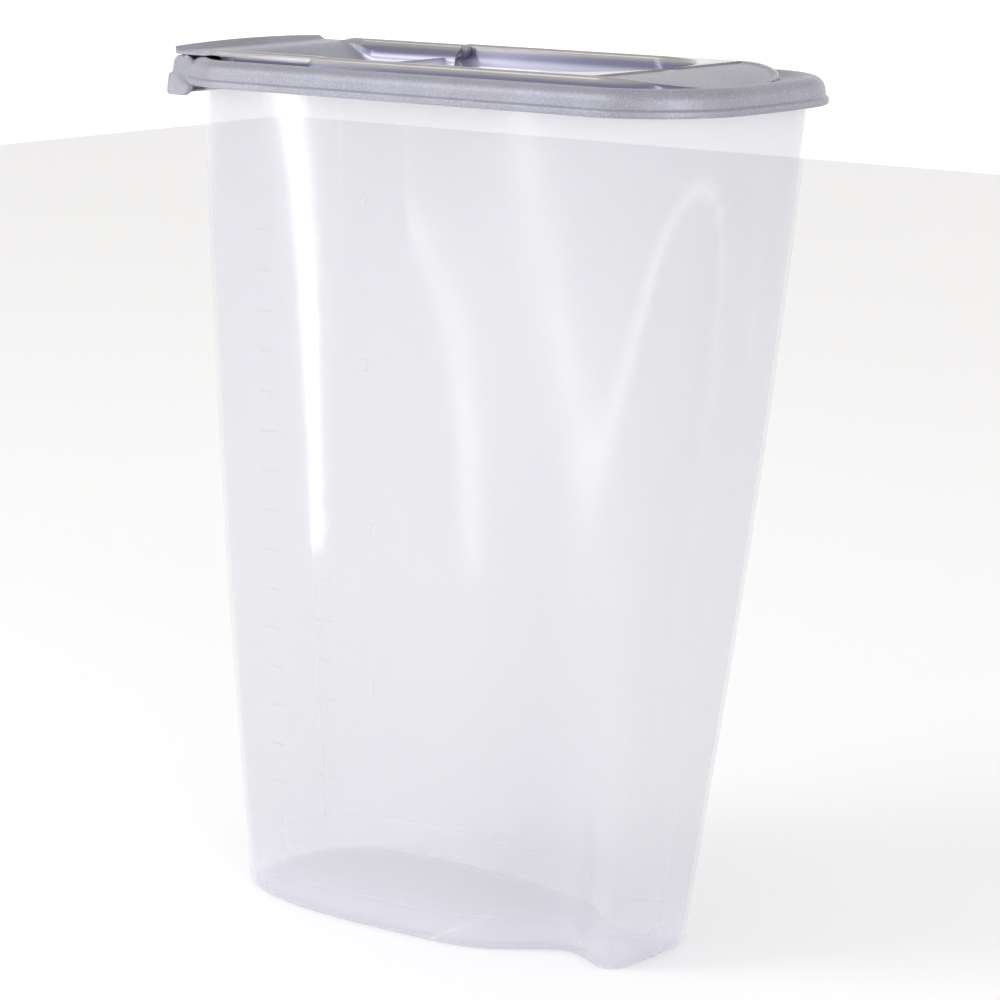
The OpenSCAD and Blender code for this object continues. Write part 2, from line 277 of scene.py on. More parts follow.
def polishedSilver(name, finish):
    # the same plastic where the mould is polished: smoky and smooth, with painted reflections laid on by
    # height: browner on the crest, dark blue down the walls and pale at their foot
    s = Shader(name)
    place = s.place()
    up = s.axis(place, "Z")
    cloud = s.add("ShaderNodeTexNoise", Vector=place, Scale=45.0, Detail=3.0)
    # painted reflections: masks by height for the brown band on the crest and the pale band at the foot of
    # the walls
    top = s.fade(up, finish["reflectionBandLow"], finish["reflectionBandHigh"])
    foot = s.fade(up, finish["reflectionFootHigh"], finish["reflectionFootLow"])
    wall = s.mixColour(foot, finish["blue"], finish["paleReflection"])
    brownReflection = s.mixColour(cloud, finish["brownReflection"], finish["light"])
    wave = s.add("ShaderNodeBump", Strength=0.05, Distance=0.0004, Height=cloud)
    surface = s.add("ShaderNodeBsdfPrincipled", Base_Color=s.mixColour(top, wall, brownReflection),
                    Metallic=finish["metal"], Roughness=finish["rough"] + cloud * 0.04,
                    Specular_IOR_Level=0.3, Normal=wave)
    return s.finish(surface)


def clearTub(name, finish):
    # translucent polypropylene: a glossy, nearly clear body with a faint violet cast, milkier at the foot
    s = Shader(name)
    place = s.place()
    cloud = s.add("ShaderNodeTexNoise", Vector=place, Scale=14.0, Detail=2.0)
    foot = s.fade(s.axis(place, "Z"), finish["footTop"], 0.0)
    colour = s.mixColour(foot, s.mixColour(cloud, finish["light"], finish["shade"]), finish["foot"])
    surface = s.add("ShaderNodeBsdfPrincipled", Base_Color=colour, Roughness=finish["rough"] + cloud * 0.03,
                    Alpha=finish["alpha"] + foot * finish["footAlpha"], IOR=1.49)
    return s.finish(surface)


silver = {
    "grain": 2400.0,     # pebbles per metre
    "flakes": 3600.0,
    "dark": (0.245, 0.245, 0.295, 1),
    "mid": (0.345, 0.345, 0.405, 1),
    "flake": (0.56, 0.56, 0.64, 1),
    "sparkle": 0.5,
    "bump": 0.35,
    "metal": 0.45,
    "rough": 0.42,
}
polish = {
    "reflectionBandLow": 0.3040,   # the painted brown reflection on the crest fades in between these heights, in metres
    "reflectionBandHigh": 0.3056,
    "reflectionFootLow": 0.3005,   # the painted pale reflection at the foot of the wall fades in below these
    "reflectionFootHigh": 0.3030,
    # painted reflections: brown and its lighter tone on the crest, dark blue down the walls, pale at their
    # foot
    "brownReflection": (0.30, 0.285, 0.285, 1),
    "light": (0.37, 0.35, 0.35, 1),
    "blue": (0.17, 0.17, 0.25, 1),
    "paleReflection": (0.55, 0.54, 0.66, 1),
    "metal": 0.30,
    "rough": 0.16,
}
clear = {
    "light": (0.70, 0.695, 0.74, 1),
    "shade": (0.68, 0.675, 0.73, 1),
    "foot": (0.80, 0.80, 0.89, 1),
    "footTop": 0.030,    # the milky foot fades in below this height, in metres
    "alpha": 0.28,
    "footAlpha": 0.05,   # added at the table
    "rough": 0.07,
}
marksClear = clear | {"light": (0.80, 0.80, 0.83, 1), "shade": (0.78, 0.78, 0.82, 1)}
lidTextured = silverTexture("lid_textured", silver)
lidPolished = polishedSilver("lid_polished", polish)
tubPlastic = clearTub("tub_clear", clear)
markPlastic = clearTub("tub_marks", marksClear)
print("materials made")


tub = {
    "gap": 6.6,          # in plan, skirt edge to tub wall
    "wall": 1.5,
    "baseLength": 178.0,
    "pourDraft": 6.4,    # draw-in of the pour end, rim to base
    "baseHalf": 39.4,
    "tailDraft": 7.0,    # narrowing of the base to the grip end
    "waistDeep": 19.0,
    "waistX": 63.0,
    "waistLong": 20.3,
    "pourPower": 2.6,    # superellipse powers of the base's two ends
    "gripPower": 4.4,
    "bow": 2.2,          # outward bow of the wall at mid height
    "endBulge": 0.9,     # bulge of the flat of each end
    "palmDeep": 2.6,
    "palmHalf": 27.0,
    "palmTop": 275.0,
    "around": 384,
    "up": 96,
    "edge": 3.0,         # radius of the bottom edge
    "floor": 1.8,        # height of the inner floor
    "middleLong": 0.9,   # length of the base's middle line, as a share of the outline
    "straightZ": 294.0,  # above this the wall is upright
    "corner": 31.4,      # radius of the rim's corners in plan
    "flangeHigh": 3.2,
    # outer and top side of the rim flange, as (distance outwards, height above its lower edge)
    "flange": [(2.2, 0.0), (2.6, 0.4), (2.6, 2.7), (2.1, 3.2)],
    "chamfer": 0.4,      # on the mouth's inner edge
}
tub["rimZ"] = lid["crestZ"] - lid["wall"] - 0.7
tub["topHalfLength"] = lid["length"] / 2 - tub["gap"]
tub["topHalfWidth"] = lid["width"] / 2 - tub["gap"]
tub["baseMid"] = lid["midX"] - tub["topHalfLength"] + tub["pourDraft"] + tub["baseLength"] / 2


def tubOutline(z, count):
    # Outline at height z from the pour end's middle to the grip end's middle along -Y, and back.
    # It is a straight blend of the base outline, a superellipse drawn in at the waist, and the rim outline,
    # a rounded rectangle, plus an outward bow of 4t(1 - t).
    t = min(1.0, z / tub["straightZ"])
    k = np.linspace(-1, 1, 1601)
    s = np.sign(k) * (1 - (1 - np.abs(k)) ** 3)
    topX = tub["topHalfLength"] * s
    topY = cornerWidth(topX, tub["topHalfLength"], tub["topHalfWidth"], tub["corner"])
    power = np.where(s < 0, tub["pourPower"], tub["gripPower"])
    full = (tub["baseHalf"] - tub["tailDraft"] * s) * np.maximum(0, 1 - np.abs(s) ** power) ** (1 / power)
    along = tub["baseLength"] / 2 * s
    dip = tub["waistDeep"] * np.exp(-((along - tub["waistX"]) / tub["waistLong"]) ** 2) * (1 - np.abs(s) ** 6)
    x = mix(tub["baseMid"] + along, lid["midX"] + topX, t) + tub["bow"] * 4 * t * (1 - t) * s
    y = mix(full - dip, topY, t) + tub["bow"] * 2 * t * (1 - t)
    x = np.concatenate([[x[0]], x, [x[-1]]])
    y = np.concatenate([[0], y, [0]])
    # the flat of each end bulges a little, so that it runs on into its corners
    for tip, corner in ((0, 1), (-1, -2)):
        flat = max(1.0, y[corner])
        bulge = tub["endBulge"] * np.maximum(0, 1 - (y / flat) ** 2) * (np.abs(x - x[tip]) < 0.5)
        x = x + np.sign(x[tip] - lid["midX"]) * bulge
    way = wayAlong(x, y)
    even = np.linspace(0, way[-1], count // 2 + 1)
    x, y = np.interp(even, way, x), np.interp(even, way, y)
    return np.concatenate([x, x[-2:0:-1]]), np.concatenate([-y, y[-2:0:-1]])


def palmDepth(x, y, z):
    # palm recess in the grip end: an arch whose depth fades to its border and to the table
    centreZ = tub["palmTop"] - tub["palmHalf"]
    reach = np.where(z > centreZ, np.hypot(y, z - centreZ), np.abs(y)) / tub["palmHalf"]
    edge = smooth((1 - reach) * 2.6)
    return np.where(x > lid["midX"], tub["palmDeep"] * edge * np.clip(z / centreZ, 0, 1) ** 0.7, 0)


def tubRing(z, inset, count):
    # the outline moved inwards along its own normals, with the palm recess taken out of the grip end
    x, y = tubOutline(z, count)
    dx, dy = np.roll(x, -1) - np.roll(x, 1), np.roll(y, -1) - np.roll(y, 1)
    size = np.maximum(1e-6, np.hypot(dx, dy))
    inX = x - dy / size * inset - palmDepth(x, y, z)
    inY = y + dx / size * inset
    return np.stack([inX, inY, np.full_like(x, z)], axis=1)


def drawnIn(ring, share, z):
    # a ring drawn in to a share of its width, down to the middle line of the base or of the inner floor
    out = ring.copy()
    out[:, 0] = tub["baseMid"] + (ring[:, 0] - tub["baseMid"]) * mix(tub["middleLong"], 1.0, share)
    out[:, 1] = ring[:, 1] * share
    out[:, 2] = z
    return out


def makeTub():
    # rings from the base's middle line up the outside, over the flange and down the inside, as (inset, z)
    edge, rimZ, wall, floor = tub["edge"], tub["rimZ"], tub["wall"], tub["floor"]
    flangeZ = rimZ - tub["flangeHigh"]
    bottom = arc(edge, edge, edge, edge, 270, 180, 8)
    walls = [(0.0, z) for z in np.linspace(edge, flangeZ, tub["up"])[1:]]
    flange = [(-out, flangeZ + up) for out, up in tub["flange"]]
    mouth = [(wall - tub["chamfer"], rimZ), (wall, rimZ - tub["chamfer"])]
    inner = [(wall, z) for z in np.linspace(flangeZ, floor + edge, tub["up"])]
    inside = arc(wall + edge, floor + edge, edge, edge, 180, 270, 8)[1:]
    rings = joinPoints(bottom, walls, flange, mouth, inner, inside)
    grid = np.stack([tubRing(z, inset, tub["around"]) for inset, z in rings])
    under = [drawnIn(grid[0], share, 0.0) for share in (0.0, 0.33, 0.66)]
    above = [drawnIn(grid[-1], share, floor) for share in (0.66, 0.33, 0.0)]
    grid = np.concatenate([under, grid, above])
    piece = meshFromGrid("tub_shell", grid, closeV=True, materials=[tubPlastic], sharp=50)
    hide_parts("container")
    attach(piece, "container")


makeTub()
print("tub made")


marks = {
    "topZ": 260.8,        # highest graduation
    "pitch": 14.3,        # height of one step
    "steps": 16,
    "leftX": (-69.5, -62.5),
    "rightX": (-45.0, -37.5),
    "rightDrop": 7.5,     # right bars below the left ones
    "lineX": (-46.2, -43.2),   # top and bottom of the upright line beside the right bars
    "lineAbove": 4.0,
    "wide": 0.5,
    "proud": 0.16,
    "sunk": 0.1,          # share of the height that is sunk in the wall
    "numbers": 4,
    "numberSteps": 4,     # graduations from one number to the next
    "numberX": -20.0,
    "numberDrop": 2.0,    # foot of a number below its graduation
    "numberSize": 6.5,
    "numberProud": 0.12,
    "numberLift": 0.10,   # middle of a number's thickness off the wall
}


def nearWall(x, z):
    # distance of the tub's outer wall from its middle plane at each x and z
    out = np.empty(len(x))
    for height in np.unique(z):
        wx, wy = tubOutline(height, tub["around"])
        half = len(wx) // 2
        order = np.argsort(wx[:half + 1])
        at = z == height
        out[at] = np.interp(x[at], wx[:half + 1][order], -wy[:half + 1][order])
    return out


def markBar(x0, x1, z0, z1):
    # points and faces of one raised bar on the near wall, four points to each step along it
    upright = z0 != z1
    count = 33 if upright else 5
    x, z = np.linspace(x0, x1, count), np.round(np.linspace(z0, z1, count), 3)
    y = nearWall(x, z)
    side, low = marks["wide"] / 2, -marks["sunk"]
    ring = []
    for shift, out in ((-side, low), (-side, 1.0), (side, 1.0), (side, low)):
        px = x + (shift if upright else 0)
        pz = z + (0 if upright else shift)
        ring.append(np.stack([px, -(y + out * marks["proud"]), pz], axis=1))
    faces = []
    for i in range(count - 1):
        for j in range(4):
            a, b = 4 * i + j, 4 * i + (j + 1) % 4
            faces.append((a, b, b + 4, a + 4))
    faces.append((3, 2, 1, 0))
    faces.append(tuple(4 * (count - 1) + j for j in range(4)))
    return np.stack(ring, axis=1).reshape(-1, 3), faces


def markNumber(text, z0):
    # points and faces of one raised number, laid on the near wall
    curve = bpy.data.curves.new("number", "FONT")
    curve.body, curve.size, curve.extrude = text, marks["numberSize"], marks["numberProud"]
    shape = bpy.data.objects.new("number", curve)
    mesh = bpy.data.meshes.new_from_object(shape)
    flat = np.empty(len(mesh.vertices) * 3)
    mesh.vertices.foreach_get("co", flat)
    flat = flat.reshape(-1, 3)
    faces = [tuple(face.vertices) for face in mesh.polygons]
    x, z = marks["numberX"] + flat[:, 0], z0 + flat[:, 1]
    heights = np.array([z0 - 1, z0 + 7])
    wall = np.interp(z, heights, nearWall(np.full(2, marks["numberX"] + 2), heights))
    bpy.data.objects.remove(shape)
    bpy.data.curves.remove(curve)
    bpy.data.meshes.remove(mesh)
    return np.stack([x, -(wall + marks["numberLift"] + flat[:, 2]), z], axis=1), faces


def makeMarks():
    # raised graduations on the near side: short bars at two columns, an upright line, and plain numbers
    blocks = []
    for k in range(marks["steps"]):
        z = marks["topZ"] - marks["pitch"] * k
        blocks.append(markBar(*marks["leftX"], z, z))
        blocks.append(markBar(*marks["rightX"], z - marks["rightDrop"], z - marks["rightDrop"]))
    bottom = marks["topZ"] - marks["pitch"] * marks["steps"]
    blocks.append(markBar(*marks["lineX"], marks["topZ"] + marks["lineAbove"], bottom))
    for k in range(marks["numbers"]):
        z = marks["topZ"] - marks["numberSteps"] * marks["pitch"] * k - marks["numberDrop"]
        blocks.append(markNumber(str(marks["numbers"] - k), z))
    points = np.concatenate([block for block, shape in blocks])
    starts = np.concatenate([[0], np.cumsum([len(block) for block, shape in blocks])])
    faces = []
    for start, (block, shape) in zip(starts, blocks):
        faces += [tuple(int(start) + v for v in face) for face in shape]
    mesh = bpy.data.meshes.new("tub_graduations")
    mesh.from_pydata((points * 0.001).tolist(), [], faces)
    mesh.materials.append(markPlastic)
    piece = bpy.data.objects.new("tub_graduations", mesh)
    bpy.context.scene.collection.objects.link(piece)
    cleanMesh(piece, 30, 1e-6)
    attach(piece, "container")


makeMarks()
print("graduations made")


def lidLoop(inset, z, cornerSteps=26, sideSteps=40, endSteps=14):
    # outline of the lid at this inset: straight sides, quarter-round corners, and ends bowed by y^2 / 2R
    inset, z = np.broadcast_arrays(np.array(inset, float), np.array(z, float))
    half, wide = lid["length"] / 2 - inset[:, None], lid["width"] / 2 - inset[:, None]
    r = lid["cornerRadius"] - inset[:, None]
    a = np.linspace(0, np.pi / 2, cornerSteps)[None, :]
    e = np.linspace(0, 1, endSteps + 1)[None, 1:-1]
    f = np.linspace(0, 1, sideSteps + 1)[None, 1:-1]
    cx, cy = half - r, wide - r
    rightX, rightY = cx + r * np.cos(a), cy + r * np.sin(a)
    sideX, sideY = mix(cx, -cx, f), np.broadcast_to(wide, (len(inset), f.shape[1]))
    leftX, leftY = -cx - r * np.sin(a), cy + r * np.cos(a)
    endX, endY = np.broadcast_to(-half, (len(inset), e.shape[1])), mix(cy, -cy, e)
    x = [rightX, sideX, leftX, endX, leftX[:, ::-1], sideX[:, ::-1], rightX[:, ::-1], -endX]
    y = [rightY, sideY, leftY, endY, -leftY[:, ::-1], -sideY, -rightY[:, ::-1], -endY]
    x, y = np.concatenate(x, axis=1), np.concatenate(y, axis=1)
    near = smooth((np.abs(x) - half + lid["bowReach"]) / lid["bowReach"])
    x = x - np.sign(x) * near * y * y / (2 * lid["endBow"])
    return np.stack([lid["midX"] + x, y, np.broadcast_to(z[:, None], x.shape)], axis=2)


def makeRim():
    # section of the rim as (inset, z): flared bead, groove, roll, valley, and back along the underside
    skirt, plate, wall = lid["skirtZ"], lid["plateZ"], lid["wall"]
    rollWide, rollHigh = lid["rollWide"], lid["rollHigh"]
    rollX, rollZ = lid["rollInset"] + rollWide, lid["crestZ"] - rollHigh
    bead = joinPoints(lid["bead"]) + [0, skirt]
    roll = arc(rollX, rollZ, -rollWide, rollHigh, 0, 90, 16)
    u = np.linspace(0, 1, 13)[1:]
    valley = np.stack([rollX + rollWide * u, plate + lid["valley"] * (1 + np.cos(np.pi * u)) / 2], axis=1)
    inner = [(lid["valleyInset"], plate - 0.35), (lid["valleyInset"], plate - wall)]
    valleyBack = valley[::-1] - [0, wall]
    rollBack = arc(rollX, rollZ, -rollWide + wall, rollHigh - wall, 90, 0, 12)
    foot = joinPoints(lid["beadInside"]) + [0, skirt]
    section = joinPoints(bead, roll, valley, inner, valleyBack, rollBack, foot)
    grid = lidLoop(section[:, 0], section[:, 1])
    piece = meshFromGrid("lid_rim", grid, closeU=True, closeV=True, materials=[lidTextured], sharp=40)
    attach(piece, "lid")
    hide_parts("lid")


makeRim()
print("rim made")


deck = {
    "inset": 10.6,         # outer edge of the deck, hidden inside the rim
    "floorZ": lid["crestZ"] - 6.4,
    "recessHalf": 38.7,
    "railOut": 41.7,
    "recessEnd": lid["midX"] + 74.0,
    "recessRadius": 36.0,
    "rampLong": 26.0,      # ramp up to the thumb rest
    "openEnd": hinge["x"] - 5.0,
    "openLong": 46.0,
    "openHalf": 34.0,
    "openRadius": 8.0,
    "openMiddle": -60.0,   # one row across the opening
    "restLong": 29.0,
    "restRadius": 30.0,
    "borderWide": 1.8,     # polished border round the thumb rest
    "borderStep": 0.7,
    "railRound": 1.3,
    "fillet": 2.0,         # at the foot of the recess's wall
    "thick": 1.2,
    # columns of cells from the middle: those over the opening, to the recess's wall, and to the rail's foot
    "openCells": 8,
    "wallCells": 17,
    "railCells": 27,
    "hair": 0.02,          # between the two rows of a step, in mm
}


def deckHalf(x):
    # half-width of the deck's outer edge at x
    half = lid["length"] / 2 - deck["inset"]
    wide = lid["width"] / 2 - deck["inset"]
    return cornerWidth(x - lid["midX"], half, wide, lid["cornerRadius"] - deck["inset"])


def restTop(x):
    # height of the thumb rest's border along x
    # it falls as the square of the distance to the plate at the grip end
    fall = lid["railZ"] - lid["plateZ"] - 0.4
    return lid["railZ"] - fall * np.maximum(0, (x - deck["recessEnd"]) / deck["restLong"]) ** 2


def deckRows(openX0, restEnd, ear):
    # places of the rows along x: close together at round corners and in pairs at steps
    hair, openEnd, recessEnd = deck["hair"], deck["openEnd"], deck["recessEnd"]
    halfLid = lid["length"] / 2 - deck["inset"]
    startX, endX = lid["midX"] - halfLid, lid["midX"] + halfLid
    quarter = 1 - np.cos(np.linspace(0, np.pi / 2, 17))
    x = np.concatenate([
        startX + (lid["cornerRadius"] - deck["inset"]) * quarter,
        openX0 - hair + deck["openRadius"] * quarter,
        [deck["openMiddle"], openEnd - hair],
        [openEnd, ear - hair],
        ear + hinge["knuckle"] * quarter,
        np.linspace(hinge["x"] + 4, recessEnd - deck["recessRadius"] - 1, 14),
        recessEnd - deck["recessRadius"] * quarter[::-1],
        [recessEnd + hair],
        np.linspace(recessEnd + 0.5, restEnd - deck["restRadius"] * 0.62, 8),
        restEnd - hair - deck["restRadius"] * 0.6 * quarter[::-1],
        [restEnd + 0.3],
        endX - 4.5 * quarter[::-1],
    ])
    return np.unique(np.round(x, 4))


def makeDeck():
    # half-sections across the lid, mirrored: columns follow the opening, the recess, the rail and the plate
    plate, floor, r = lid["plateZ"] - 0.05, deck["floorZ"], deck["railRound"]
    openX0 = deck["openEnd"] - deck["openLong"]
    restEnd = deck["recessEnd"] + deck["restLong"]
    ear = hinge["x"] - hinge["knuckle"]
    x = deckRows(openX0, restEnd, ear)
    ahead = x < deck["openEnd"]
    inRecess = (x >= deck["openEnd"]) & (x <= deck["recessEnd"])
    inRest = (x > deck["recessEnd"]) & (x <= restEnd)
    inRail = (x >= ear) & (x <= restEnd)
    beyond = x > restEnd
    outer = deckHalf(x)

    # widths: the opening, the recess's wall and the outer side of the rail
    hole = np.where(ahead, startWidth(x, openX0, deck["openHalf"], deck["openRadius"]), deck["openHalf"])
    hole = np.where(x < openX0, deck["openHalf"] - deck["openRadius"], hole)
    recess = endWidth(x, deck["recessEnd"], deck["recessHalf"], deck["recessRadius"])
    railOut = endWidth(x, restEnd, deck["railOut"], deck["restRadius"])
    railOut = np.where(beyond, railOut[np.searchsorted(x, restEnd) - 1], railOut)
    recess = np.where(inRest, railOut - deck["borderWide"] - 0.9, recess)
    recess = np.where(beyond, np.minimum(railOut - 3, outer - 4), recess)
    recess = np.where(ahead, np.minimum(recess, outer - 6), recess)
    railOut = np.where(ahead, np.minimum(deck["railOut"], outer - 1.5), railOut)
    hole = np.maximum(0.3, np.minimum(hole, recess - 3))

    # heights: the rail's crest and the ground inside it
    border = restTop(x)
    crown = border - np.minimum(deck["borderStep"], np.maximum(0, border - plate - 0.1))
    knuckle = hinge["z"] + np.sqrt(np.maximum(0, hinge["knuckle"] ** 2 - (x - hinge["x"]) ** 2))
    crest = np.where(x < hinge["x"], knuckle, lid["railZ"])
    crest = np.where(inRest, border, crest)
    crest = np.where(inRail, crest, plate)
    climb = np.clip((x - deck["recessEnd"] + deck["rampLong"]) / deck["rampLong"], 0, 1) ** 1.3
    ramp = mix(floor, lid["railZ"] - deck["borderStep"], climb)
    ground = np.where(inRecess, ramp, np.where(inRest, crown, plate))
    raised = crest > plate + 1

    # columns from the middle outwards
    inset = deck["fillet"]
    colsY = [hole * f for f in np.linspace(0, 1, 9)]
    colsY += [mix(hole, recess - inset, f) for f in (0.35, 0.7, 1.0)]
    colsZ = [ground] * len(colsY)
    fillet = np.minimum(inset, np.maximum(0.0, (crest - ground) * 0.45))
    for b in np.radians(np.linspace(0, 90, 6))[1:]:
        colsY.append(recess - inset + inset * np.sin(b))
        colsZ.append(ground + fillet * (1 - np.cos(b)))
    rise = np.minimum(r, np.maximum(0, crest - ground) * 0.5)
    turn = np.radians(np.linspace(0, 90, 5))
    for b in turn:
        colsY.append(recess + r * (1 - np.cos(b)))
        colsZ.append(crest - rise + rise * np.sin(b))
    for b in turn[::-1]:
        colsY.append(railOut - r + r * np.cos(b))
        colsZ.append(crest - r * raised * (1 - np.sin(b)))
    level = np.full_like(x, plate)
    colsY += [railOut + 0.3, railOut + 0.9, mix(railOut + 0.9, outer, 0.5), outer]
    colsZ += [plate + np.where(raised, 0.5, 0.0), level, level, level]
    halfY, halfZ = np.stack(colsY, axis=1), np.stack(colsZ, axis=1)
    yy = np.concatenate([-halfY[:, :0:-1], halfY], axis=1)
    zz = np.concatenate([halfZ[:, :0:-1], halfZ], axis=1)
    grid = np.stack([np.broadcast_to(x[:, None], yy.shape), yy, zz], axis=2)

    # which cells are open, and which are polished
    rows, columns = yy.shape
    cell = np.abs(np.arange(columns - 1) + 0.5 - (columns - 1) / 2)[None, :]
    openRows = (x >= openX0) & (x < deck["openEnd"] - 0.01)
    polishedRows = (x >= deck["openEnd"] - 0.03) & (x < deck["recessEnd"] + 0.01)
    toRail = cell < deck["railCells"]
    keep = np.ones((rows, columns), bool)
    keep[:, :-1] &= ~(openRows[:, None] & (cell < deck["openCells"]))
    slots = np.zeros((rows, columns), int)
    slots[:, :-1] |= (polishedRows[:, None] & toRail).astype(int)
    slots[:, :-1] |= (inRest[:, None] & (cell > deck["wallCells"]) & toRail).astype(int)
    piece = meshFromGrid("lid_deck", grid, materials=[lidTextured, lidPolished], slots=slots, keep=keep,
                         sharp=38)
    faceAway(piece, (0, 0, 0))
    thicken(piece, deck["thick"])
    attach(piece, "lid")


makeDeck()
print("deck made")


tab = {
    "half": 38.0,
    # front wall from its lower edge up, as (distance behind the skirt's end, height)
    "front": [(-2.4, 289.9), (-3.3, 290.1), (-3.8, 291.2), (-3.4, 294.0), (-2.8, 296.9), (-2.4, 297.5),
              (-1.0, 297.8), (-0.6, 299.0), (-0.3, 300.6), (0.1, 302.0), (0.9, 303.1), (2.2, 303.9),
              (4.0, 304.2), (6.0, 304.2), (8.4, 303.4), (11.0, 302.1)],
    # rear border of each side wall, likewise
    "rear": [(5.5, 289.8), (7.2, 290.2), (10.6, 294.0), (15.0, 296.5), (16.0, 299.0), (16.0, 302.4)],
    "lean": 6.0,          # outward lean of each side wall, until it is buried in the rolled rim
    "leanZ": 292.5,       # where the lean begins
    "leanHigh": 3.5,
    "round": 1.6,
    "thick": 1.1,
    "inside": (12, 0, 294),   # a point behind the front wall, from the skirt's end
}


def makeTab():
    # lug under the pour end: a front wall rolled over at the top and flared at the bottom, and two side walls
    front = joinPoints(tab["front"])
    rear = joinPoints(tab["rear"])
    way = wayAlong(rear[:, 0], rear[:, 1])
    at = np.linspace(0, way[-1], len(front))
    rear = np.stack([np.interp(at, way, rear[:, 0]), np.interp(at, way, rear[:, 1])], axis=1)
    half, r = tab["half"], tab["round"]
    lean = tab["lean"] * smooth((rear[:, 1] - tab["leanZ"]) / tab["leanHigh"])
    rows = []
    for share in (0.0, 0.2, 0.4, 0.6, 0.8):
        both = mix(rear, front + [r, 0], share)
        rows.append(np.column_stack([both[:, 0], -half - lean * (1 - share) ** 1.6, both[:, 1]]))
    for b in np.linspace(0, np.pi / 2, 6):
        side = np.full(len(front), -half + r * (1 - np.cos(b)))
        rows.append(np.column_stack([front[:, 0] + r * (1 - np.sin(b)), side, front[:, 1]]))
    left = np.array(rows)
    middle = [np.column_stack([front[:, 0], np.full(len(front), y), front[:, 1]])
              for y in np.linspace(-half + 6, half - 6, 9)]
    grid = np.concatenate([left, middle, left[::-1] * [1, -1, 1]])
    grid[:, :, 0] += lid["frontX"]
    piece = meshFromGrid("lid_lift_tab", grid, materials=[lidTextured], sharp=50)
    faceAway(piece, np.array(tab["inside"]) + [lid["frontX"], 0, 0])
    thicken(piece, tab["thick"])
    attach(piece, "lid")


makeTab()
print("lift tab made")


cap = {
    "startX": capLow[0] + 0.02,
    "half": 38.3,
    "corner": 4.0,         # plan radius of the lip's corners
    "ringX": lid["frontX"] + 12.9,   # front of the part that sits down on the lid
    "ringRadius": 20.0,
    "bottomZ": lid["plateZ"] + 0.4,
    "lipUnder": lid["crestZ"] + 0.4,
    "lipZ": capHigh[2] - 0.03,
    "lipDrop": 1.0,        # crown of the lip: how much lower its ends are
    "lipThick": 1.7,
    "lipLong": 2.6,        # slope from the lip down to the shelf
    "lipRows": (-112.2, -110.0, -107.5, -105.0, -103.0),
    "shelfZ": lid["railZ"] - 1.1,
    "shelfEnd": -101.0,
    "troughX": -83.0,      # where the ramp ends in the trough
    "troughZ": 298.9,
    "plugStart": -95.6,
    "plugHalf": 33.55,
    "railStart": -101.5,
    "railFull": -96.5,
    "railRound": 1.2,
    "railInner": 35.45,
    "floorHalf": 30.0,
    "floorCells": 11,
    "fillet": 1.7,         # from the trough's floor into its wall
    # columns up the trough's wall, as (distance from the middle, share of the wall's height)
    "wall": [(32.3, 0.5), (33.50, 0.62), (33.60, 0.64), (35.2, 0.84)],
    # the polish begins on a slanted line: at this x on the floor, and at these from the wall's foot up
    "polishFloor": -86.0,
    "polishWall": (-88.5, -98.5),
}


